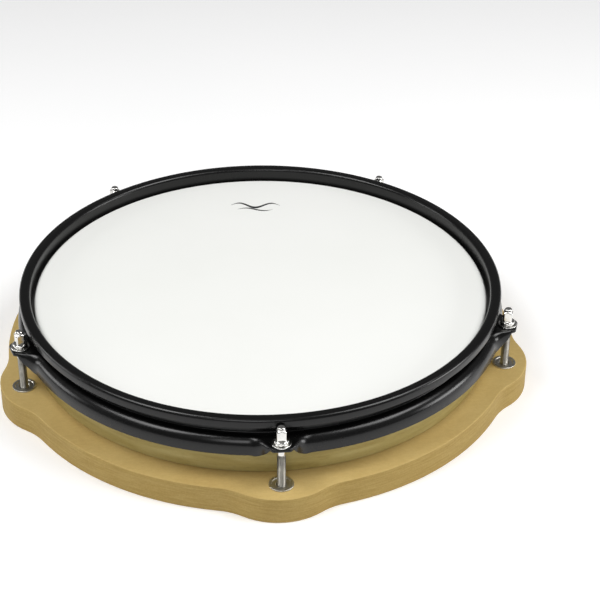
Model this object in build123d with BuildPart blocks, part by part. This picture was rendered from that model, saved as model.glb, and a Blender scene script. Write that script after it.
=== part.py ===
from build123d import *
import os
from math import cos, hypot, radians, sin

# Tunable drum practice pad, millimetres.  Origin: centre of the underside of the
# base board, +Z up.  One tuning lug stands on -Y, the other four every 72 degrees.

# ---- overall layout ----
lug_count = 5
first_lug_angle = -90.0
lug_circle_radius = 167.8       # tension rod axes
lug_step = 360.0 / lug_count

# ---- base board (18 mm fibreboard, one lobe under every tension rod) ----
board_thickness = 18.0
board_waist_radius = 172.5
board_lobe_radius = 41.0
board_lobe_peak = 182.8
board_blend_radius = 40.0
board_arris = 0.7

# ---- ring that carries the head (turned from one blank) ----
ring_inner_radius = 146.0
ring_foot_radius = 155.5
ring_foot_top = 37.0
ring_foot_chamfer = 0.6
ring_neck_radius = 152.4        # 12 inch head
ring_top = 53.15
bearing_round = 1.5
bearing_flat = 1.0
bearing_slope = 3.9

# ---- drumhead: film and its clamping rim ----
film_thickness = 0.25
film_clamp_level = 43.0
film_clamp_radius = 156.0
rim_inner_radius = 153.0
rim_outer_radius = 157.8
rim_bottom = 39.4
rim_corner = 0.8

# ---- muting foam under the film ----
foam_radius = 144.5
foam_top = 52.8
foam_edge = 1.0

# ---- counter hoop, pressed from 1.6 mm steel ----
hoop_gauge = 1.6
hoop_wall_radius = 154.5
hoop_top = 62.1
lip_outer_radius = 162.0
lip_bend = 2.6
lip_outer_bend = 2.4
lip_bottom = 56.0
step_top = 48.9
step_inner_bend = 1.4
step_fillet = 0.5
skirt_radius = 164.0
skirt_bottom = 37.2
shoulder_bend = 7.2
ear_lobe_radius = 13.0
ear_lobe_peak = 174.0
ear_blend_radius = 14.0
ear_pad_half_width = 7.0
ear_pad_peak = 174.2
ear_pad_corner = 3.0
notch_half_width = 6.8
notch_foot_half_width = 17.0

# ---- tension rods, number 12 by 24 turns per inch ----
rod_diameter = 5.5
thread_pitch = 25.4 / 24
thread_major_diameter = 5.4
thread_minor_diameter = 4.3
thread_top = 41.5
rod_end = 5.5
rod_end_taper = 0.8
collar_diameter = 9.6
collar_height = 2.3
key_square = 5.9
key_corner = 0.8
key_height = 9.2
key_top_round = 0.6

# ---- washers under the rod collars ----
washer_diameter = 12.2
washer_bore = 5.6
washer_thickness = 1.0
washer_edge = 0.45

# ---- flanged threaded inserts in the board ----
insert_flange_diameter = 15.6
insert_flange_thickness = 0.9
insert_barrel_diameter = 8.6
insert_depth = 13.5
insert_bore = 5.54
insert_hole_depth = 15.0
insert_edge = 0.35

# ---- countersunk screws holding the ring to the board ----
screw_circle_radius = 150.8
screw_diameter = 3.5
screw_head_diameter = 7.0
screw_head_height = 2.2
screw_recess = 0.5
screw_length = 25.0
screw_recess_width = 1.1
screw_recess_length = 4.2
screw_recess_depth = 1.2

# ---- working clearances ----
resting_gap = 0.03
ear_hole_clearance = 0.08

step_underside = step_top - hoop_gauge
flange_end = skirt_radius - shoulder_bend
hoop_core_radius = hoop_wall_radius + hoop_gauge + step_fillet / 2
rim_top = step_underside - resting_gap
washer_top = step_top + washer_thickness
collar_bottom = washer_top + resting_gap
key_bottom = collar_bottom + collar_height


def lug_angle(index):
    """Direction of one lug seen from above."""
    return first_lug_angle + lug_step * index


def at_lug(index, height):
    """Point on the axis of one tension rod."""
    angle = radians(lug_angle(index))
    return (lug_circle_radius * cos(angle), lug_circle_radius * sin(angle), height)


def lobed_outline(body_radius, lobe_radius, lobe_peak, blend_radius):
    """Disc with one round lobe at every lug, run into the disc by hollow blends."""
    with BuildSketch() as outline:
        with Locations(Location((0, 0, 0), (0, 0, first_lug_angle))):
            Circle(body_radius)
        with PolarLocations(lobe_peak - lobe_radius, lug_count, start_angle=first_lug_angle):
            Circle(lobe_radius)
        corners = [v for v in outline.vertices() if abs(hypot(v.X, v.Y) - body_radius) < 0.01]
        fillet(corners, blend_radius)
    return outline.sketch


def save(piece, name):
    """Give the solid its name and write it out."""
    piece.label = name
    export_step(piece, "parts/" + name + ".step")


os.makedirs("parts", exist_ok=True)

# ---------------------------------------------------------------- base board
board_outline = lobed_outline(
    board_waist_radius, board_lobe_radius, board_lobe_peak, board_blend_radius
)
with BuildPart() as base_board:
    with BuildSketch():
        add(board_outline)
    extrude(amount=board_thickness)
    rims = base_board.faces().filter_by(Axis.Z).edges()
    fillet(rims, board_arris)
    # blind seats for the threaded inserts
    with Locations([at_lug(i, board_thickness) for i in range(lug_count)]):
        Cylinder(
            insert_barrel_diameter / 2, insert_hole_depth,
            align=(Align.CENTER, Align.CENTER, Align.MAX), mode=Mode.SUBTRACT,
        )
    # through holes and countersinks for the ring screws, midway between the lugs
    with PolarLocations(screw_circle_radius, lug_count, start_angle=first_lug_angle + lug_step / 2):
        Cylinder(
            screw_diameter / 2, board_thickness,
            align=(Align.CENTER, Align.CENTER, Align.MIN), mode=Mode.SUBTRACT,
        )
        Cylinder(
            screw_head_diameter / 2, screw_recess,
            align=(Align.CENTER, Align.CENTER, Align.MIN), mode=Mode.SUBTRACT,
        )
        with Locations((0, 0, screw_recess)):
            Cone(
                screw_head_diameter / 2, screw_diameter / 2, screw_head_height,
                align=(Align.CENTER, Align.CENTER, Align.MIN), mode=Mode.SUBTRACT,
            )
save(base_board.part, "base_board")

# ---------------------------------------------------------------- head ring
with BuildPart() as head_ring:
    with BuildSketch(Plane.XZ):
        with BuildLine():
            round_start = (ring_neck_radius, ring_top - bearing_round)
            round_end = (ring_neck_radius - bearing_round, ring_top)
            flat_end = (ring_neck_radius - bearing_round - bearing_flat, ring_top)
            Polyline(
                (ring_inner_radius, board_thickness),
                (ring_foot_radius - ring_foot_chamfer, board_thickness),
                (ring_foot_radius, board_thickness + ring_foot_chamfer),
                (ring_foot_radius, ring_foot_top),
                (ring_neck_radius, ring_foot_top),
                round_start,
            )
            RadiusArc(round_start, round_end, -bearing_round)
            Polyline(
                round_end,
                flat_end,
                (ring_inner_radius, ring_top - bearing_slope),
                (ring_inner_radius, board_thickness),
            )
        make_face()
    revolve(axis=Axis.Z)
    # pilot holes for the ring screws
    with PolarLocations(screw_circle_radius, lug_count, start_angle=first_lug_angle + lug_step / 2):
        Cylinder(
            screw_diameter / 2, screw_recess + screw_length,
            align=(Align.CENTER, Align.CENTER, Align.MIN), mode=Mode.SUBTRACT,
        )
save(head_ring.part, "head_ring")

# ---------------------------------------------------------------- ring screws
with BuildPart() as ring_screws:
    with PolarLocations(screw_circle_radius, lug_count, start_angle=first_lug_angle + lug_step / 2):
        with Locations((0, 0, screw_recess)):
            Cylinder(
                screw_diameter / 2, screw_length,
                align=(Align.CENTER, Align.CENTER, Align.MIN),
            )
            Cone(
                screw_head_diameter / 2, screw_diameter / 2, screw_head_height,
                align=(Align.CENTER, Align.CENTER, Align.MIN),
            )
            # cross recess
            Box(
                screw_recess_length, screw_recess_width, screw_recess_depth,
                align=(Align.CENTER, Align.CENTER, Align.MIN), mode=Mode.SUBTRACT,
            )
            Box(
                screw_recess_width, screw_recess_length, screw_recess_depth,
                align=(Align.CENTER, Align.CENTER, Align.MIN), mode=Mode.SUBTRACT,
            )
save(ring_screws.part, "ring_screws")

# ---------------------------------------------------------------- muting foam
with BuildPart() as foam_disc:
    with Locations((0, 0, board_thickness)):
        Cylinder(
            foam_radius, foam_top - board_thickness,
            align=(Align.CENTER, Align.CENTER, Align.MIN),
        )
    fillet(foam_disc.faces().sort_by(Axis.Z)[-1].edges(), foam_edge)
save(foam_disc.part, "foam_disc")

# ---------------------------------------------------------------- head film
# Flat over the bearing edge, down the neck of the ring, then out into the rim.
with BuildPart() as head_film:
    with BuildSketch(Plane.XZ):
        with BuildLine():
            outer_radius = ring_neck_radius + film_thickness
            outer_round = bearing_round + film_thickness
            film_top = ring_top + film_thickness
            clamp_under = film_clamp_level - film_thickness
            Polyline(
                (0, ring_top),
                (0, film_top),
                (outer_radius - outer_round, film_top),
            )
            RadiusArc(
                (outer_radius - outer_round, film_top),
                (outer_radius, film_top - outer_round),
                outer_round,
            )
            Polyline(
                (outer_radius, film_top - outer_round),
                (outer_radius, film_clamp_level),
                (film_clamp_radius, film_clamp_level),
                (film_clamp_radius, clamp_under),
                (ring_neck_radius, clamp_under),
                (ring_neck_radius, ring_top - bearing_round),
            )
            RadiusArc(
                (ring_neck_radius, ring_top - bearing_round),
                (ring_neck_radius - bearing_round, ring_top),
                -bearing_round,
            )
            Line((ring_neck_radius - bearing_round, ring_top), (0, ring_top))
        make_face()
    revolve(axis=Axis.Z)
save(head_film.part, "head_film")

# ---------------------------------------------------------------- head rim
with BuildPart() as head_rim:
    with BuildSketch(Plane.XZ) as rim_section:
        with BuildLine():
            Polyline(
                (rim_inner_radius, rim_bottom),
                (rim_outer_radius, rim_bottom),
                (rim_outer_radius, rim_top),
                (rim_inner_radius, rim_top),
                close=True,
            )
        make_face()
        fillet(rim_section.vertices(), rim_corner)
        # slot that grips the edge of the film
        with Locations((rim_inner_radius, film_clamp_level)):
            Rectangle(
                2 * (film_clamp_radius - rim_inner_radius), film_thickness,
                align=(Align.CENTER, Align.MAX), mode=Mode.SUBTRACT,
            )
    revolve(axis=Axis.Z)
save(head_rim.part, "head_rim")

# ---------------------------------------------------------------- counter hoop
skirt_outline = lobed_outline(skirt_radius, ear_lobe_radius, ear_lobe_peak, ear_blend_radius)
skirt_inside = lobed_outline(
    skirt_radius - hoop_gauge,
    ear_lobe_radius - hoop_gauge,
    ear_lobe_peak - hoop_gauge,
    ear_blend_radius + hoop_gauge,
)

# space inside the skirt, with the inner side of the rounded shoulder
with BuildPart() as skirt_hollow:
    with BuildSketch(Plane.XY.offset(skirt_bottom)):
        add(skirt_inside)
    extrude(amount=step_underside - skirt_bottom)
    fillet(skirt_hollow.faces().sort_by(Axis.Z)[-1].edges(), shoulder_bend - hoop_gauge)

# notch under one ear: flat above, running down into the skirt's edge on both sides
with BuildPart() as ear_notch:
    with BuildSketch(Plane.XZ.offset(lug_circle_radius - ear_lobe_radius / 2)):
        with BuildLine():
            below = skirt_bottom - hoop_gauge
            for side in (-1, 1):
                Spline(
                    (side * notch_foot_half_width, skirt_bottom),
                    (side * notch_half_width, step_underside),
                    tangents=[(-side, 0), (-side, 2.2)],
                )
                Line(
                    (side * notch_foot_half_width, skirt_bottom),
                    (side * notch_foot_half_width, below),
                )
            Line((-notch_half_width, step_underside), (notch_half_width, step_underside))
            Line((-notch_foot_half_width, below), (notch_foot_half_width, below))
        make_face()
    extrude(amount=ear_lobe_radius)

with BuildPart() as counter_hoop:
    # step and skirt
    with BuildSketch(Plane.XY.offset(skirt_bottom)):
        add(skirt_outline)
    extrude(amount=step_top - skirt_bottom)
    fillet(counter_hoop.faces().sort_by(Axis.Z)[-1].edges(), shoulder_bend)
    add(skirt_hollow.part, mode=Mode.SUBTRACT)
    with Locations((0, 0, skirt_bottom)):
        Cylinder(
            hoop_core_radius, step_top,
            align=(Align.CENTER, Align.CENTER, Align.MIN), mode=Mode.SUBTRACT,
        )
    # wall, and the lip rolled out and turned down
    with BuildSketch(Plane.XZ):
        with BuildLine():
            wall_outer = hoop_wall_radius + hoop_gauge
            lip_start = hoop_wall_radius + lip_bend
            lip_underside = hoop_top - hoop_gauge
            RadiusArc(
                (hoop_wall_radius + step_inner_bend, step_underside),
                (hoop_wall_radius, step_underside + step_inner_bend),
                step_inner_bend,
            )
            Line(
                (hoop_wall_radius, step_underside + step_inner_bend),
                (hoop_wall_radius, hoop_top - lip_bend),
            )
            RadiusArc(
                (hoop_wall_radius, hoop_top - lip_bend),
                (lip_start, hoop_top),
                lip_bend,
            )
            lip_end = lip_outer_radius - lip_outer_bend
            lip_inside = lip_outer_radius - hoop_gauge
            lip_shoulder = hoop_top - lip_outer_bend
            Line((lip_start, hoop_top), (lip_end, hoop_top))
            RadiusArc((lip_end, hoop_top), (lip_outer_radius, lip_shoulder), lip_outer_bend)
            Polyline(
                (lip_outer_radius, lip_shoulder),
                (lip_outer_radius, lip_bottom),
                (lip_inside, lip_bottom),
                (lip_inside, lip_shoulder),
            )
            RadiusArc(
                (lip_inside, lip_shoulder),
                (lip_end, lip_underside),
                hoop_gauge - lip_outer_bend,
            )
            Line((lip_end, lip_underside), (lip_start, lip_underside))
            RadiusArc(
                (lip_start, lip_underside),
                (wall_outer, hoop_top - lip_bend),
                hoop_gauge - lip_bend,
            )
            Line((wall_outer, hoop_top - lip_bend), (wall_outer, step_top + step_fillet))
            RadiusArc(
                (wall_outer, step_top + step_fillet),
                (wall_outer + step_fillet, step_top),
                -step_fillet,
            )
            Polyline(
                (wall_outer + step_fillet, step_top),
                (flange_end, step_top),
                (flange_end, step_underside),
                (hoop_wall_radius + step_inner_bend, step_underside),
            )
        make_face()
    revolve(axis=Axis.Z)
    # open the skirt under every ear, then lay a flat pad there for the washer
    for i in range(lug_count):
        add(
            ear_notch.part.rotate(Axis.Z, lug_angle(i) - first_lug_angle),
            mode=Mode.SUBTRACT,
        )
    pad_length = ear_pad_peak - flange_end
    with BuildSketch(Plane.XY.offset(step_underside)) as pads:
        with PolarLocations(flange_end, lug_count, start_angle=first_lug_angle):
            Rectangle(
                pad_length, 2 * ear_pad_half_width, align=(Align.MIN, Align.CENTER)
            )
        outer_corners = [v for v in pads.vertices() if hypot(v.X, v.Y) > ear_pad_peak]
        fillet(outer_corners, ear_pad_corner)
    extrude(amount=hoop_gauge)
    with Locations([at_lug(i, step_underside) for i in range(lug_count)]):
        Cylinder(
            rod_diameter / 2 + ear_hole_clearance, hoop_gauge,
            align=(Align.CENTER, Align.CENTER, Align.MIN), mode=Mode.SUBTRACT,
        )
save(counter_hoop.part, "counter_hoop")

# ---------------------------------------------------------------- rods, washers, inserts
for i in range(lug_count):
    with BuildPart() as threaded_insert:
        with Locations(at_lug(i, board_thickness)):
            Cylinder(
                insert_barrel_diameter / 2, insert_depth,
                align=(Align.CENTER, Align.CENTER, Align.MAX),
            )
            Cylinder(
                insert_flange_diameter / 2, insert_flange_thickness,
                align=(Align.CENTER, Align.CENTER, Align.MIN),
            )
        fillet(threaded_insert.faces().sort_by(Axis.Z)[-1].edges(), insert_edge)
        with Locations(at_lug(i, board_thickness + insert_flange_thickness)):
            Cylinder(
                insert_bore / 2, insert_depth + insert_flange_thickness,
                align=(Align.CENTER, Align.CENTER, Align.MAX), mode=Mode.SUBTRACT,
            )
    save(threaded_insert.part, "threaded_insert_" + str(i + 1))

    with BuildPart() as rod_washer:
        with Locations(at_lug(i, step_top)):
            Cylinder(
                washer_diameter / 2, washer_thickness,
                align=(Align.CENTER, Align.CENTER, Align.MIN),
            )
        fillet(rod_washer.faces().sort_by(Axis.Z)[-1].edges(), washer_edge)
        with Locations(at_lug(i, step_top)):
            Cylinder(
                washer_bore / 2, washer_thickness,
                align=(Align.CENTER, Align.CENTER, Align.MIN), mode=Mode.SUBTRACT,
            )
    save(rod_washer.part, "rod_washer_" + str(i + 1))

    rod_x, rod_y, _ = at_lug(i, 0)
    rod_plane = Plane(
        origin=(rod_x, rod_y, 0), x_dir=(1, 0, 0), z_dir=(0, -1, 0)
    )
    rod_axis = Axis((rod_x, rod_y, 0), (0, 0, 1))
    with BuildPart() as tension_rod:
        # shank and thread turned about the rod's own axis
        with BuildSketch(rod_plane):
            with BuildLine():
                major = thread_major_diameter / 2
                minor = thread_minor_diameter / 2
                turns = int((thread_top - rod_end - rod_end_taper) / thread_pitch)
                thread_start = thread_top - turns * thread_pitch
                outline = [(0, rod_end), (minor - rod_end_taper / 2, rod_end), (minor, thread_start)]
                for turn in range(turns):
                    root_level = thread_start + turn * thread_pitch
                    outline.append((major, root_level + thread_pitch / 2))
                    outline.append((minor, root_level + thread_pitch))
                outline.append((rod_diameter / 2, thread_top + thread_pitch / 2))
                outline.append((rod_diameter / 2, collar_bottom))
                outline.append((collar_diameter / 2, collar_bottom))
                outline.append((collar_diameter / 2, key_bottom))
                outline.append((0, key_bottom))
                Polyline(*outline, close=True)
            make_face()
        revolve(axis=rod_axis)
        # square key head, turned to face the middle of the pad
        with BuildSketch(Plane.XY.offset(key_bottom)) as key:
            with Locations(Location((rod_x, rod_y, 0), (0, 0, lug_angle(i)))):
                RectangleRounded(key_square, key_square, key_corner)
        extrude(amount=key_height)
        fillet(tension_rod.faces().sort_by(Axis.Z)[-1].edges(), key_top_round)
    save(tension_rod.part, "tension_rod_" + str(i + 1))
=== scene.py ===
import math

import bmesh
import bpy
from mathutils import Matrix, Vector


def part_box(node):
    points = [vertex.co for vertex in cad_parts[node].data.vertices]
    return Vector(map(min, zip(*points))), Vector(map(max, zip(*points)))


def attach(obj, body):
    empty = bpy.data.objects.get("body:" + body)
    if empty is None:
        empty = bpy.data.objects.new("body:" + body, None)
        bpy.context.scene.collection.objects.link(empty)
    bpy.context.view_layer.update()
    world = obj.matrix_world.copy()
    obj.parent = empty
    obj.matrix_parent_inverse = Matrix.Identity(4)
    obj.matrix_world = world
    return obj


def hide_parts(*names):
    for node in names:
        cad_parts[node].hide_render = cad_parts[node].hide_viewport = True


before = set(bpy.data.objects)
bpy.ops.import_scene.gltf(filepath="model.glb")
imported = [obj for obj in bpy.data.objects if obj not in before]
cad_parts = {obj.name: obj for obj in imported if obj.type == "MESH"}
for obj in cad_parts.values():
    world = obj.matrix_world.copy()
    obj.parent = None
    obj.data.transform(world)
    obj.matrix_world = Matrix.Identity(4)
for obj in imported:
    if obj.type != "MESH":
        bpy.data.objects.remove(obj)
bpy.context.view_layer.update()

# Looks of the tunable drum practice pad.  Metres, +Z up, one tuning lug on -Y.
MM = 0.001
LUGS = sum(1 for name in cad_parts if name.startswith("tension_rod_"))


# ---------------------------------------------------------------- the frame's sizes
def middle(node):
    """Centre of a CAD node's box."""
    low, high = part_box(node)
    return (low + high) / 2


def lug_place(index):
    """Axis of one tension rod on the floor plane."""
    centre = middle("rod_washer_" + str(index + 1))
    return Vector((centre.x, centre.y, 0.0))


hoop_low, hoop_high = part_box("counter_hoop")
washer_low, washer_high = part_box("rod_washer_1")
film_low, film_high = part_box("head_film")
board_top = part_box("base_board")[1].z
lug_radius = lug_place(0).length
lug_azimuth = math.atan2(lug_place(0).y, lug_place(0).x)
lug_spacing = 2 * math.pi / LUGS

# counter hoop: pressed steel sheet
GAUGE = 1.6 * MM
SKIRT_RADIUS = 164.0 * MM
WALL_RADIUS = 154.5 * MM
LIP_RADIUS = 162.0 * MM
LIP_BEND = 2.6 * MM
LIP_OUTER_BEND = 2.4 * MM
LIP_BOTTOM = 56.0 * MM
STEP_FILLET = 0.5 * MM
STEP_INNER_BEND = 1.4 * MM
SHOULDER_BEND = 7.2 * MM
CUT_ROUND = 0.35 * MM
EAR_PEAK = -hoop_low.y
EAR_LOBE_RADIUS = 13.0 * MM
EAR_LOBE_PEAK = EAR_PEAK - 0.2 * MM
EAR_BLEND_RADIUS = 14.0 * MM
EAR_HALF_WIDTH = 7.0 * MM
EAR_CORNER = 3.0 * MM
NOTCH_HALF_WIDTH = 6.8 * MM
NOTCH_FOOT_HALF_WIDTH = 17.0 * MM
EAR_TURNDOWN = 0.3 * MM
SECTION_STEPS = 7
# where the skirt is cut low under an ear, its bends take up at most these shares of its drop
SHOULDER_SHARE = 0.62
INSIDE_SHARE = 0.6
CUT_SHARE = 0.3
# how quickly the notch climbs at its foot: above 1, sooner than a plain square curve
NOTCH_SWELL = 1.3
step_top = washer_low.z
step_underside = step_top - GAUGE


# ---------------------------------------------------------------- mesh helpers
def rounded(corners, steps, closed):
    """Path through (across, up, radius) corners, every corner rounded by an arc of `steps` parts."""
    path = []
    count = len(corners)
    for i, (across, up, radius) in enumerate(corners):
        here = Vector((across, up))
        if radius <= 0 or (not closed and i in (0, count - 1)):
            path.append(here)
            continue
        before = Vector(corners[i - 1][:2]) - here
        after = Vector(corners[(i + 1) % count][:2]) - here
        opening = before.angle(after)
        reach = radius / math.tan(opening / 2)
        centre = here + (before.normalized() + after.normalized()).normalized() * (
            radius / math.sin(opening / 2)
        )
        start = here + before.normalized() * reach - centre
        end = here + after.normalized() * reach - centre
        turn = start.angle_signed(end)
        for step in range(steps + 1):
            angle = -turn * step / steps
            path.append(centre + Matrix.Rotation(angle, 2) @ start)
    return path


def grid_object(name, rows, close_rows, close_columns):
    """Mesh piece from rows of points; doubled points, such as those on an axis, are merged."""
    columns = len(rows[0])
    points = [point for row in rows for point in row]
    faces = []
    for r in range(len(rows) if close_rows else len(rows) - 1):
        for c in range(columns if close_columns else columns - 1):
            next_row = (r + 1) % len(rows)
            next_column = (c + 1) % columns
            faces.append(
                (
                    r * columns + c,
                    r * columns + next_column,
                    next_row * columns + next_column,
                    next_row * columns + c,
                )
            )
    mesh = bpy.data.meshes.new(name)
    mesh.from_pydata(points, [], faces)
    return finish_mesh(name, mesh)


def finish_mesh(name, mesh, crease=math.radians(40)):
    """Clean, outward-facing, smooth-shaded object from a mesh."""
    work = bmesh.new()
    work.from_mesh(mesh)
    bmesh.ops.remove_doubles(work, verts=work.verts, dist=0.002 * MM)
    bmesh.ops.recalc_face_normals(work, faces=work.faces)
    for face in work.faces:
        face.smooth = True
    for edge in work.edges:
        edge.smooth = edge.calc_face_angle(0.0) < crease
    work.to_mesh(mesh)
    work.free()
    piece = bpy.data.objects.new(name, mesh)
    bpy.context.scene.collection.objects.link(piece)
    return piece


def lathe(name, path, place, steps, closed):
    """Piece turned about a vertical axis through `place`."""
    rows = []
    for step in range(steps):
        angle = 2 * math.pi * step / steps
        rows.append(
            [
                (place.x + p.x * math.cos(angle), place.y + p.x * math.sin(angle), p.y)
                for p in path
            ]
        )
    return grid_object(name, rows, True, closed)


def join(name, pieces):
    """One piece from several, under a new name."""
    with bpy.context.temp_override(
        active_object=pieces[0], selected_editable_objects=pieces
    ):
        bpy.ops.object.join()
    pieces[0].name = name
    pieces[0].data.name = name
    return pieces[0]


def stand_for(piece, body, node):
    """Lets a detailed piece ride on a body in place of one CAD node."""
    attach(piece, body)
    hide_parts(node)


# ---------------------------------------------------------------- material helpers
class Paint:
    """One procedural material around a Principled shader."""

    def __init__(self, name, **sockets):
        self.material = bpy.data.materials.new(name)
        self.material.use_nodes = True
        self.tree = self.material.node_tree
        self.shader = self.tree.nodes["Principled BSDF"]
        for socket, value in sockets.items():
            self.shader.inputs[socket.replace("_", " ")].default_value = value
        self.place = self.node("ShaderNodeTexCoord").outputs["Object"]

    def node(self, kind, links=(), **values):
        """New node; `links` are (input, output) pairs, `values` its settings."""
        made = self.tree.nodes.new(kind)
        for name, value in values.items():
            setattr(made, name, value)
        for socket, source in links:
            if hasattr(source, "links"):
                self.tree.links.new(source, made.inputs[socket])
            else:
                made.inputs[socket].default_value = source
        return made

    def math(self, operation, *sources):
        """Result of one sum on numbers or sockets."""
        return self.node(
            "ShaderNodeMath", list(enumerate(sources)), operation=operation
        ).outputs[0]

    def stretched(self, scale):
        """Object coordinates scaled along each axis."""
        return self.node(
            "ShaderNodeMapping", [("Vector", self.place), ("Scale", scale)]
        ).outputs[0]

    def noise(self, scale, detail=4.0, roughness=0.55, place=None, distortion=0.0):
        """Fractal noise, 0 to 1."""
        return self.node(
            "ShaderNodeTexNoise",
            [
                ("Vector", place or self.place),
                ("Scale", scale),
                ("Detail", detail),
                ("Roughness", roughness),
                ("Distortion", distortion),
            ],
        ).outputs[0]

    def ramp(self, source, *stops):
        """Colours or greys by (position, value) stops."""
        made = self.node("ShaderNodeValToRGB", [("Fac", source)])
        elements = made.color_ramp.elements
        while len(elements) < len(stops):
            elements.new(0.5)
        for element, (position, value) in zip(elements, stops):
            element.position = position
            colour = value if hasattr(value, "__len__") else (value,) * 3
            element.color = (*colour, 1.0)
        return made.outputs["Color"]

    def mix(self, share, first, second, blend_type="MIX"):
        """Blend of two colours."""
        made = self.node(
            "ShaderNodeMix", data_type="RGBA", blend_type=blend_type
        )
        for socket, source in ((0, share), (6, first), (7, second)):
            if hasattr(source, "links"):
                self.tree.links.new(source, made.inputs[socket])
            elif socket == 0:
                made.inputs[socket].default_value = source
            else:
                made.inputs[socket].default_value = (*source, 1.0)
        return made.outputs[2]

    def set(self, socket, source):
        """Feeds one socket of the shader."""
        self.tree.links.new(source, self.shader.inputs[socket])

    def bump(self, *layers):
        """Surface relief from (height, strength, depth) layers."""
        normal = None
        for height, strength, depth in layers:
            links = [("Height", height), ("Strength", strength), ("Distance", depth)]
            if normal is not None:
                links.append(("Normal", normal))
            normal = self.node("ShaderNodeBump", links).outputs["Normal"]
        self.set("Normal", normal)

    def round_the_axis(self):
        """Coordinates that follow the turned parts: along the rim, out from the middle, up."""
        split = self.node("ShaderNodeSeparateXYZ", [(0, self.place)]).outputs
        radius = self.math(
            "SQRT",
            self.math(
                "ADD",
                self.math("MULTIPLY", split[0], split[0]),
                self.math("MULTIPLY", split[1], split[1]),
            ),
        )
        around = self.math("ARCTAN2", split[1], split[0])
        return around, radius, split[2]

    def combine(self, x, y, z):
        """Vector from three numbers."""
        return self.node("ShaderNodeCombineXYZ", [(0, x), (1, y), (2, z)]).outputs[0]


def dress(obj, paint):
    """Puts one material on a piece or a CAD node."""
    obj.data.materials.clear()
    obj.data.materials.append(paint.material)


# ---------------------------------------------------------------- materials
def fibreboard():
    """Bare fibreboard: mottled pressed faces, a darker cut edge with fine machining lines. The top is
    painted lighter and the sides darker: partly the board's own face and cut-edge colours, partly
    painted light on the top and painted shade on the sides.
    """
    paint = Paint("bare_fibreboard", Roughness=0.72)
    paint.shader.inputs["Specular IOR Level"].default_value = 0.3
    cloud = paint.noise(14.0, 5.0, 0.6)
    fleck = paint.noise(900.0, 3.0, 0.6)
    fibre = paint.noise(260.0, 4.0, 0.7, paint.stretched((1.0, 2.2, 1.0)))
    # pressed-face colours, set lighter than the board itself as painted light on the top
    face = paint.ramp(
        paint.mix(0.35, cloud, fibre),
        (0.34, (0.500, 0.342, 0.116)),
        (0.50, (0.560, 0.400, 0.144)),
        (0.68, (0.618, 0.458, 0.181)),
    )
    cut_lines = paint.noise(60.0, 3.0, 0.6, paint.stretched((1.0, 1.0, 16.0)))
    # cut-edge colours: the board's own darker edge, set darker still as painted shade on the sides
    edge = paint.ramp(
        paint.mix(0.3, cut_lines, fleck),
        (0.30, (0.325, 0.215, 0.055)),
        (0.50, (0.392, 0.270, 0.080)),
        (0.72, (0.465, 0.336, 0.112)),
    )
    # top against sides by which way the surface faces: painted light on the top and painted shade on
    # the sides, on top of the board's real face and edge colours
    upward = paint.node(
        "ShaderNodeSeparateXYZ",
        [(0, paint.node("ShaderNodeNewGeometry").outputs["Normal"])],
    ).outputs[2]
    level = paint.ramp(paint.math("ABSOLUTE", upward), (0.15, 0.0), (0.95, 1.0))
    colour = paint.mix(level, edge, face)
    speckle = paint.ramp(fleck, (0.30, 0.95), (0.62, 1.0))
    paint.set("Base Color", paint.mix(1.0, colour, speckle, "MULTIPLY"))
    paint.set("Roughness", paint.ramp(cloud, (0.3, 0.62), (0.7, 0.80)))
    paint.bump((fleck, 0.18, 0.12 * MM), (cut_lines, 0.10, 0.2 * MM))
    return paint


def ring_wood():
    """Pale bent wood with grain running round the ring; its colours are set darker than the wood as
    painted shade from the hoop above.
    """
    paint = Paint("ring_wood", Roughness=0.6)
    around, radius, height = paint.round_the_axis()
    turned = paint.combine(
        paint.math("MULTIPLY", around, 1.4),
        paint.math("MULTIPLY", radius, 30.0),
        paint.math("MULTIPLY", height, 75.0),
    )
    grain = paint.noise(2.4, 6.0, 0.62, turned, 0.4)
    pores = paint.noise(
        9.0,
        3.0,
        0.7,
        paint.combine(
            paint.math("MULTIPLY", around, 6.0),
            paint.math("MULTIPLY", radius, 90.0),
            paint.math("MULTIPLY", height, 260.0),
        ),
    )
    # wood colours: the grain's own tones, darkened as painted shade standing for the hoop's shadow on
    # the ring
    colour = paint.ramp(
        grain,
        (0.30, (0.340, 0.255, 0.072)),
        (0.50, (0.450, 0.362, 0.125)),
        (0.72, (0.540, 0.455, 0.190)),
    )
    shade = paint.ramp(pores, (0.28, 0.82), (0.50, 1.0))
    paint.set("Base Color", paint.mix(1.0, colour, shade, "MULTIPLY"))
    paint.set("Roughness", paint.ramp(grain, (0.3, 0.5), (0.7, 0.68)))
    paint.bump((pores, 0.2, 0.12 * MM))
    return paint


def head_film():
    """Coated drumhead film: off-white, very fine grain."""
    paint = Paint("coated_film", Roughness=0.42)
    grain = paint.noise(2600.0, 3.0, 0.6)
    cloud = paint.noise(9.0, 3.0, 0.5)
    paint.set(
        "Base Color",
        paint.ramp(cloud, (0.3, (0.860, 0.868, 0.835)), (0.7, (0.885, 0.890, 0.862))),
    )
    paint.set("Roughness", paint.ramp(grain, (0.3, 0.38), (0.7, 0.52)))
    paint.bump((grain, 0.12, 0.04 * MM))
    return paint


def print_ink():
    """Black screen-printed ink, a little uneven."""
    paint = Paint("print_ink", Roughness=0.5)
    patch = paint.noise(1800.0, 3.0)
    paint.set("Base Color", paint.ramp(patch, (0.3, 0.012), (0.7, 0.03)))
    paint.set("Roughness", paint.ramp(patch, (0.3, 0.4), (0.7, 0.6)))
    return paint


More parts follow.
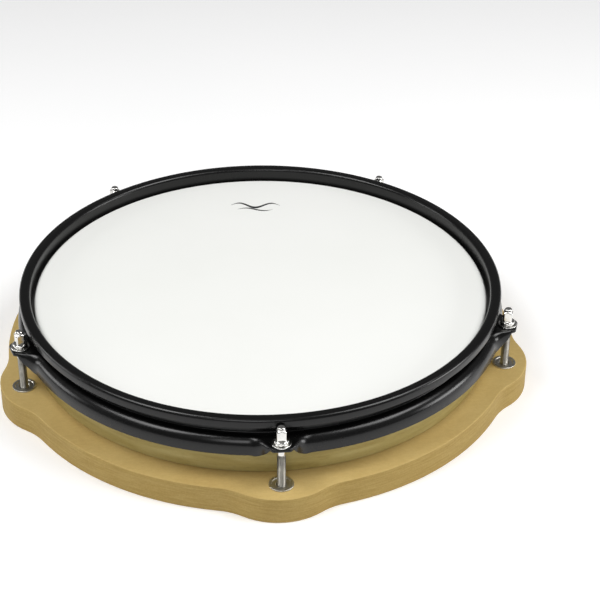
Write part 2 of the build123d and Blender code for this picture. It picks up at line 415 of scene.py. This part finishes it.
def hoop_enamel():
    """Gloss black enamel with a faint orange peel and a few duller patches."""
    paint = Paint("gloss_black_enamel", Roughness=0.3)
    paint.shader.inputs["Specular IOR Level"].default_value = 0.38
    peel = paint.noise(420.0, 2.0, 0.5)
    patch = paint.noise(24.0, 5.0, 0.6)
    speck = paint.noise(1500.0, 2.0, 0.7)
    paint.set(
        "Base Color",
        paint.mix(
            paint.ramp(speck, (0.70, 0.0), (0.76, 0.35)),
            (0.0028, 0.0028, 0.0028),
            (0.02, 0.02, 0.02),
        ),
    )
    paint.set("Roughness", paint.ramp(patch, (0.35, 0.22), (0.7, 0.30)))
    paint.bump((peel, 0.08, 0.05 * MM))
    return paint


def bright_metal(name, colour, roughness, scratch, dull_below=None):
    """Plated metal: fine scratches, slight cloudiness, and a duller, oily thread below one height."""
    paint = Paint(name, Metallic=1.0, Roughness=roughness)
    fine = paint.noise(1400.0, 4.0, 0.65, paint.stretched((1.0, 1.0, 5.0)))
    cloud = paint.noise(160.0, 4.0, 0.6)
    dull = tuple(channel * 0.72 for channel in colour)
    tone = paint.mix(paint.ramp(cloud, (0.38, 0.0), (0.7, 1.0)), colour, dull)
    sheen = paint.ramp(cloud, (0.3, roughness * 0.75), (0.75, min(1.0, roughness * 1.7)))
    if dull_below is not None:
        height = paint.round_the_axis()[2]
        low = paint.math("LESS_THAN", height, dull_below)
        oily = paint.ramp(cloud, (0.3, (0.30, 0.29, 0.26)), (0.7, (0.46, 0.44, 0.39)))
        tone = paint.mix(low, tone, oily)
        sheen = paint.mix(low, sheen, (0.36, 0.36, 0.36))
    paint.set("Base Color", tone)
    paint.set("Roughness", sheen)
    paint.bump((fine, scratch, 0.03 * MM))
    return paint


def rim_metal():
    """Bare aluminium head rim with turning marks."""
    paint = Paint("rim_aluminium", Metallic=1.0, Roughness=0.38)
    around, radius, height = paint.round_the_axis()
    marks = paint.noise(
        3.0,
        4.0,
        0.6,
        paint.combine(
            paint.math("MULTIPLY", around, 0.6),
            paint.math("MULTIPLY", radius, 1400.0),
            paint.math("MULTIPLY", height, 1400.0),
        ),
    )
    paint.set("Base Color", paint.ramp(marks, (0.3, (0.50, 0.50, 0.49)), (0.7, (0.66, 0.66, 0.65))))
    paint.set("Roughness", paint.ramp(marks, (0.3, 0.3), (0.7, 0.48)))
    paint.bump((marks, 0.15, 0.05 * MM))
    return paint


def open_foam():
    """Dark open-cell foam."""
    paint = Paint("open_cell_foam", Roughness=0.95)
    cells = paint.node(
        "ShaderNodeTexVoronoi", [("Vector", paint.place), ("Scale", 700.0)]
    ).outputs["Distance"]
    tone = paint.noise(40.0, 4.0)
    colour = paint.ramp(tone, (0.3, (0.028, 0.028, 0.031)), (0.7, (0.055, 0.055, 0.060)))
    shade = paint.ramp(cells, (0.05, 0.45), (0.5, 1.0))
    paint.set("Base Color", paint.mix(1.0, colour, shade, "MULTIPLY"))
    paint.bump((cells, 0.8, 0.5 * MM))
    return paint


# ---------------------------------------------------------------- counter hoop
def lobed_radius(angle, body, lobe, peak, blend):
    """Distance to a disc with one round lobe at angle 0, run in by hollow blends."""
    angle = abs(angle)
    lobe_centre = peak - lobe
    blend_centre = body + blend
    blend_angle = math.acos(
        (blend_centre**2 + lobe_centre**2 - (lobe + blend) ** 2)
        / (2 * blend_centre * lobe_centre)
    )
    if angle >= blend_angle:
        return body
    share = lobe / (lobe + blend)
    touch = Vector((lobe_centre, 0.0)).lerp(
        Vector((math.cos(blend_angle), math.sin(blend_angle))) * blend_centre, share
    )
    if angle > math.atan2(touch.y, touch.x):
        across = blend_centre * math.sin(blend_angle - angle)
        return blend_centre * math.cos(blend_angle - angle) - math.sqrt(blend**2 - across**2)
    across = lobe_centre * math.sin(angle)
    return lobe_centre * math.cos(angle) + math.sqrt(lobe**2 - across**2)


def ear_radius(angle):
    """Outline of the hoop's step near one lug: the lobe with the flat washer pad on it."""
    radius = lobed_radius(
        angle, SKIRT_RADIUS, EAR_LOBE_RADIUS, EAR_LOBE_PEAK, EAR_BLEND_RADIUS
    )
    sideways = abs(EAR_PEAK * math.tan(angle))
    if abs(angle) < math.pi / 4 and sideways < EAR_HALF_WIDTH:
        into_corner = max(0.0, sideways - (EAR_HALF_WIDTH - EAR_CORNER))
        end = EAR_PEAK - EAR_CORNER + math.sqrt(EAR_CORNER**2 - into_corner**2)
        radius = max(radius, end / math.cos(angle))
    return radius


def skirt_bottom(angle):
    """Height of the skirt's lower edge: cut away under the ear, with a hollow run-in."""
    sideways = abs(lug_radius * math.tan(angle)) if abs(angle) < math.pi / 4 else 1.0
    rise = (NOTCH_FOOT_HALF_WIDTH - sideways) / (NOTCH_FOOT_HALF_WIDTH - NOTCH_HALF_WIDTH)
    rise = min(1.0, max(0.0, rise))
    shape = rise * rise * (NOTCH_SWELL - (NOTCH_SWELL - 1) * rise)
    return hoop_low.z + (step_underside - EAR_TURNDOWN - hoop_low.z) * shape


def hoop_section(angle):
    """Closed section of the hoop at one angle from a lug."""
    outer = ear_radius(angle)
    bottom = skirt_bottom(angle)
    drop = step_top - bottom
    shoulder = min(SHOULDER_BEND, SHOULDER_SHARE * drop)
    inside = min(SHOULDER_BEND - GAUGE, INSIDE_SHARE * (drop - GAUGE))
    cut = min(CUT_ROUND, CUT_SHARE * (drop - GAUGE))
    top = hoop_high.z
    corners = [
        (LIP_RADIUS - GAUGE, LIP_BOTTOM, CUT_ROUND),
        (LIP_RADIUS, LIP_BOTTOM, CUT_ROUND),
        (LIP_RADIUS, top, LIP_OUTER_BEND),
        (WALL_RADIUS, top, LIP_BEND),
        (WALL_RADIUS, step_underside, STEP_INNER_BEND),
        (outer - GAUGE, step_underside, inside),
        (outer - GAUGE, bottom, cut),
        (outer, bottom, cut),
        (outer, step_top, shoulder),
        (WALL_RADIUS + GAUGE, step_top, STEP_FILLET),
        (WALL_RADIUS + GAUGE, top - GAUGE, LIP_BEND - GAUGE),
        (LIP_RADIUS - GAUGE, top - GAUGE, LIP_OUTER_BEND - GAUGE),
    ]
    return rounded(corners, SECTION_STEPS, True)


def hoop_angles():
    """Angles from a lug to the next one, close together over the ears."""
    near = math.radians(8.0)
    fine = 96
    coarse = 64
    gap = lug_spacing - 2 * near
    angles = [-near + 2 * near * i / fine for i in range(fine)]
    angles += [near + gap * i / coarse for i in range(coarse)]
    return angles


def counter_hoop():
    """The whole pressed hoop with its ears."""
    rows = []
    for lug in range(LUGS):
        for angle in hoop_angles():
            from_lug = angle if angle < lug_spacing / 2 else angle - lug_spacing
            azimuth = lug_azimuth + lug * lug_spacing + angle
            rows.append(
                [
                    (p.x * math.cos(azimuth), p.x * math.sin(azimuth), p.y)
                    for p in hoop_section(from_lug)
                ]
            )
    piece = grid_object("pressed_hoop", rows, True, True)
    stand_for(piece, "hoop", "counter_hoop")
    return piece


# ---------------------------------------------------------------- rods, washers, inserts
ROD_RADIUS = 2.75 * MM
THREAD_MAJOR = 2.7 * MM
THREAD_MINOR = 2.15 * MM
THREAD_PITCH = 25.4 / 24 * MM
THREAD_TOP = 41.5 * MM
COLLAR_RADIUS = 4.8 * MM
COLLAR_HEIGHT = 2.3 * MM
KEY_HALF = 2.95 * MM
KEY_CORNER = 0.8 * MM
RUN_OUT = 1.2 * MM
POINT_SHARE = 0.82
THREAD_SWELL = 1.3
THREAD_ROOT = 0.1


def threaded_shank(name, place, bottom, top):
    """Shank with a true helical thread below and a plain stretch above."""
    around = 28
    per_turn = 8
    levels = int((THREAD_TOP - bottom) / THREAD_PITCH * per_turn)
    rows = []
    for level in range(levels + 1):
        height = bottom + (THREAD_TOP - bottom) * level / levels
        taper = min(1.0, (height - bottom) / RUN_OUT)
        into_plain = max(0.0, 1 - (THREAD_TOP - height) / RUN_OUT)
        row = []
        for step in range(around):
            turn = step / around
            phase = (height / THREAD_PITCH - turn) % 1.0
            ridge = 1 - abs(2 * phase - 1)
            ridge = min(1.0, max(0.0, THREAD_SWELL * ridge - THREAD_ROOT))
            radius = THREAD_MINOR + (THREAD_MAJOR - THREAD_MINOR) * ridge
            radius = radius * (POINT_SHARE + (1 - POINT_SHARE) * taper)
            radius = radius + (ROD_RADIUS - radius) * into_plain
            angle = 2 * math.pi * turn
            row.append(
                (place.x + radius * math.cos(angle), place.y + radius * math.sin(angle), height)
            )
        rows.append(row)
    rows.insert(0, [(place.x, place.y, bottom)] * around)
    rows.append(
        [
            (
                place.x + ROD_RADIUS * math.cos(2 * math.pi * step / around),
                place.y + ROD_RADIUS * math.sin(2 * math.pi * step / around),
                top,
            )
            for step in range(around)
        ]
    )
    rows.append([(place.x, place.y, top)] * around)
    return grid_object(name, rows, False, True)


def square_key(name, place, azimuth, bottom, top):
    """Square key head, its top corners turned off to a cone."""
    around = 64
    turned_corner = KEY_HALF * math.sqrt(2) - KEY_CORNER * (math.sqrt(2) - 1)
    stations = [
        (bottom, 1.0),
        (top - 3.0 * MM, 1.0),
        (top - 2.7 * MM, 0.97),
        (top - 2.1 * MM, 0.78),
        (top - 1.9 * MM, 0.70),
        (top - 0.9 * MM, 0.66),
        (top - 0.3 * MM, 0.58),
        (top - 0.06 * MM, 0.50),
        (top, 0.38),
    ]
    rows = [[(place.x, place.y, bottom)] * around]
    for height, share in stations:
        limit = turned_corner * share
        row = []
        for step in range(around):
            angle = 2 * math.pi * (step + 0.5) / around
            flat = max(abs(math.cos(angle)), abs(math.sin(angle)))
            radius = min(KEY_HALF / flat, limit)
            turned = angle + azimuth
            row.append(
                (place.x + radius * math.cos(turned), place.y + radius * math.sin(turned), height)
            )
        rows.append(row)
    rows.append([(place.x, place.y, top)] * around)
    return grid_object(name, rows, False, True)


def tension_rod(index):
    """Chromed rod: threaded shank, collar and square key in one piece."""
    place = lug_place(index)
    node = "tension_rod_" + str(index + 1)
    low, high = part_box(node)
    collar_bottom = washer_high.z + 0.03 * MM
    collar_top = collar_bottom + COLLAR_HEIGHT
    shank = threaded_shank("shank", place, low.z, collar_bottom + 0.3 * MM)
    collar_path = rounded(
        [
            (0.0, collar_bottom, 0.0),
            (COLLAR_RADIUS, collar_bottom, 0.3 * MM),
            (COLLAR_RADIUS, collar_top, 0.9 * MM),
            (KEY_HALF * 1.1, collar_top + 0.25 * MM, 0.2 * MM),
            (0.0, collar_top + 0.25 * MM, 0.0),
        ],
        6,
        False,
    )
    collar = lathe("collar", collar_path, place, 64, False)
    azimuth = lug_azimuth + index * lug_spacing
    key = square_key("key", place, azimuth, collar_top, high.z)
    rod = join("drum_rod_" + str(index + 1), [shank, collar, key])
    stand_for(rod, "rod_" + str(index + 1), node)
    return rod


def washer(index):
    """Thick washer, dished a little, with a rounded bright rim."""
    place = lug_place(index)
    node = "rod_washer_" + str(index + 1)
    low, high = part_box(node)
    radius = (high.x - low.x) / 2
    bore = ROD_RADIUS + 0.05 * MM
    path = rounded(
        [
            (bore, low.z, 0.1 * MM),
            (radius, low.z, 0.3 * MM),
            (radius, high.z, 0.35 * MM),
            (radius - 1.5 * MM, high.z - 0.22 * MM, 0.5 * MM),
            (bore, high.z - 0.05 * MM, 0.1 * MM),
        ],
        5,
        True,
    )
    piece = lathe("dished_washer_" + str(index + 1), path, place, 72, True)
    stand_for(piece, "hoop", node)
    return piece


def insert(index):
    """Flanged insert: raised bright rim round a sunk face and the threaded mouth."""
    place = lug_place(index)
    node = "threaded_insert_" + str(index + 1)
    low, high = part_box(node)
    flange = (high.x - low.x) / 2
    barrel = 4.3 * MM
    mouth = 3.5 * MM
    bore = 2.77 * MM
    path = rounded(
        [
            (bore, low.z, 0.1 * MM),
            (barrel, low.z, 0.4 * MM),
            (barrel, board_top, 0.0),
            (flange, board_top, 0.0),
            (flange, high.z, 0.4 * MM),
            (flange - 1.7 * MM, high.z, 0.3 * MM),
            (flange - 2.1 * MM, high.z - 0.45 * MM, 0.2 * MM),
            (mouth, high.z - 0.45 * MM, 0.2 * MM),
            (bore, high.z - 1.4 * MM, 0.2 * MM),
        ],
        4,
        True,
    )
    piece = lathe("flanged_insert_" + str(index + 1), path, place, 72, True)
    stand_for(piece, "base", node)
    return piece


# ---------------------------------------------------------------- head and foam
FILM = 0.25 * MM
BEARING_ROUND = 1.5 * MM
NECK_RADIUS = 152.4 * MM


def drumhead():
    """Film flat over the bearing edge, down the neck, and out into the rim."""
    top = film_high.z
    clamp = film_low.z + FILM
    clamp_radius = film_high.x
    outer_round = BEARING_ROUND + FILM
    corners = [
        (0.0, top, 0.0),
        (NECK_RADIUS + FILM, top, outer_round),
        (NECK_RADIUS + FILM, clamp, 0.05 * MM),
        (clamp_radius, clamp, 0.0),
        (clamp_radius, clamp - FILM, 0.0),
        (NECK_RADIUS, clamp - FILM, 0.05 * MM),
        (NECK_RADIUS, top - FILM, BEARING_ROUND),
        (0.0, top - FILM, 0.0),
    ]
    piece = lathe("drumhead", rounded(corners, 8, False), Vector(), 360, False)
    stand_for(piece, "base", "head_film")
    return piece


def foam():
    """Muting foam: softly crowned, its cut edge a little uneven."""
    low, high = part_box("foam_disc")
    radius = high.x
    edge = 1.6 * MM
    around = 240
    rows = []
    for step in range(around):
        angle = 2 * math.pi * step / around
        wave = math.sin(7 * angle) * 0.5 + math.sin(17 * angle + 1.0) * 0.3
        reach = radius - 0.5 * MM + 0.4 * MM * wave
        path = rounded(
            [
                (0.0, low.z, 0.0),
                (reach, low.z, edge),
                (reach - 0.4 * MM, (low.z + high.z) / 2, 0.0),
                (reach, high.z - 0.25 * MM, edge),
                (reach * 0.6, high.z, 0.0),
                (0.0, high.z, 0.0),
            ],
            6,
            False,
        )
        rows.append([(p.x * math.cos(angle), p.x * math.sin(angle), p.y) for p in path])
    piece = grid_object("muting_foam", rows, True, False)
    stand_for(piece, "base", "foam_disc")
    return piece


def flourish():
    """Small printed swirl near the back of the head: two tapered waves, no lettering."""
    centre = Vector((4.0 * MM, 113.0 * MM))
    tilt = math.radians(-5.5)
    thickness = 0.02 * MM
    pieces = []
    for length, swing, width, shift, cycles in (
        (36.0, 3.2, 2.8, 1.0, 1.5),
        (26.0, 1.8, 1.7, -5.0, 1.0),
    ):
        steps = 64
        rows = []
        for step in range(steps + 1):
            t = step / steps
            along = (t - 0.5) * length * MM
            across = (swing * math.sin(2 * math.pi * cycles * t) + shift) * MM
            half = width * MM / 2 * math.sin(math.pi * min(1.0, max(0.0, 0.03 + 0.94 * t)))
            row = []
            for side, height in ((-1, 0.0), (-1, thickness), (1, thickness), (1, 0.0)):
                x = along
                y = across + side * half
                row.append(
                    (
                        centre.x + x * math.cos(tilt) - y * math.sin(tilt),
                        centre.y + x * math.sin(tilt) + y * math.cos(tilt),
                        film_high.z + height,
                    )
                )
            rows.append(row)
        pieces.append(grid_object("wave", rows, False, True))
    piece = join("printed_swirl", pieces)
    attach(piece, "base")
    return piece


# ---------------------------------------------------------------- build the pieces
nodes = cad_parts
dress(nodes["base_board"], fibreboard())
dress(nodes["head_ring"], ring_wood())
dress(nodes["head_rim"], rim_metal())
dress(nodes["ring_screws"], bright_metal("zinc_screw", (0.62, 0.58, 0.46), 0.32, 0.2))

dress(counter_hoop(), hoop_enamel())

chrome = bright_metal("rod_chrome", (0.80, 0.79, 0.76), 0.1, 0.1, THREAD_TOP)
washer_steel = bright_metal("washer_steel", (0.76, 0.75, 0.72), 0.2, 0.15)
insert_steel = bright_metal("insert_zinc", (0.64, 0.62, 0.56), 0.28, 0.25)
for i in range(LUGS):
    dress(tension_rod(i), chrome)
    dress(washer(i), washer_steel)
    dress(insert(i), insert_steel)

dress(drumhead(), head_film())
dress(foam(), open_foam())
dress(flourish(), print_ink())


# ---------------------------------------------------------------- floor, light and camera
def floor():
    """Wide pale floor under the pad."""
    half = 6.0
    mesh = bpy.data.meshes.new("studio_floor")
    mesh.from_pydata(
        [(-half, -half, 0), (half, -half, 0), (half, half, 0), (-half, half, 0)],
        [],
        [(0, 1, 2, 3)],
    )
    piece = bpy.data.objects.new("studio_floor", mesh)
    bpy.context.scene.collection.objects.link(piece)
    paint = Paint("studio_floor_paint", Roughness=0.9)
    paint.set("Base Color", paint.ramp(paint.noise(3.0), (0.3, 0.93), (0.7, 0.95)))
    paint.shader.inputs["Emission Color"].default_value = (1.0, 1.0, 1.0, 1.0)
    paint.shader.inputs["Emission Strength"].default_value = 0.15
    dress(piece, paint)


def softbox(name, place, aim, size, power):
    """Square area light turned towards a point."""
    data = bpy.data.lights.new(name, "AREA")
    data.shape = "RECTANGLE"
    data.size, data.size_y = size
    data.energy = power
    lamp = bpy.data.objects.new(name, data)
    bpy.context.scene.collection.objects.link(lamp)
    lamp.location = place
    lamp.rotation_euler = (Vector(aim) - Vector(place)).to_track_quat("-Z", "Y").to_euler()


def camera(place, yaw, pitch, roll, lens):
    """Camera at a place, turned from +Y by yaw to the right, pitch down and roll."""
    data = bpy.data.cameras.new("camera")
    data.sensor_width = 36.0
    data.lens = lens
    data.clip_start = 0.01
    data.clip_end = 50.0
    viewer = bpy.data.objects.new("camera", data)
    bpy.context.scene.collection.objects.link(viewer)
    turn = (
        Matrix.Rotation(-yaw, 3, "Z")
        @ Matrix.Rotation(math.pi / 2 - pitch, 3, "X")
        @ Matrix.Rotation(roll, 3, "Z")
    )
    viewer.location = place
    viewer.rotation_euler = turn.to_euler()
    bpy.context.scene.camera = viewer


floor()
target = (0.0, 0.0, 0.04)
softbox("right_key", (0.70, -0.20, 1.18), target, (0.6, 0.6), 8.5)
softbox("left_key", (-0.65, -0.20, 1.20), target, (0.6, 0.6), 8.5)
softbox("low_right", (1.45, -0.25, 0.40), target, (0.6, 0.4), 7.0)
softbox("low_left", (-1.5, 0.3, 0.45), target, (0.6, 0.4), 4.0)
softbox("front_fill", (-0.3, -1.7, 1.5), target, (0.8, 0.8), 8.0)

world = bpy.data.worlds.new("studio_air")
bpy.context.scene.world = world
world.use_nodes = True
world.node_tree.nodes["Background"].inputs["Color"].default_value = (1.0, 1.0, 1.0, 1.0)
world.node_tree.nodes["Background"].inputs["Strength"].default_value = 0.15
bpy.context.scene.view_settings.view_transform = "Standard"

camera(
    place=(-0.0648, -0.9500, 0.6524),
    yaw=math.radians(5.5),
    pitch=math.radians(32.6),
    roll=math.radians(0.4),
    lens=99.4,
)
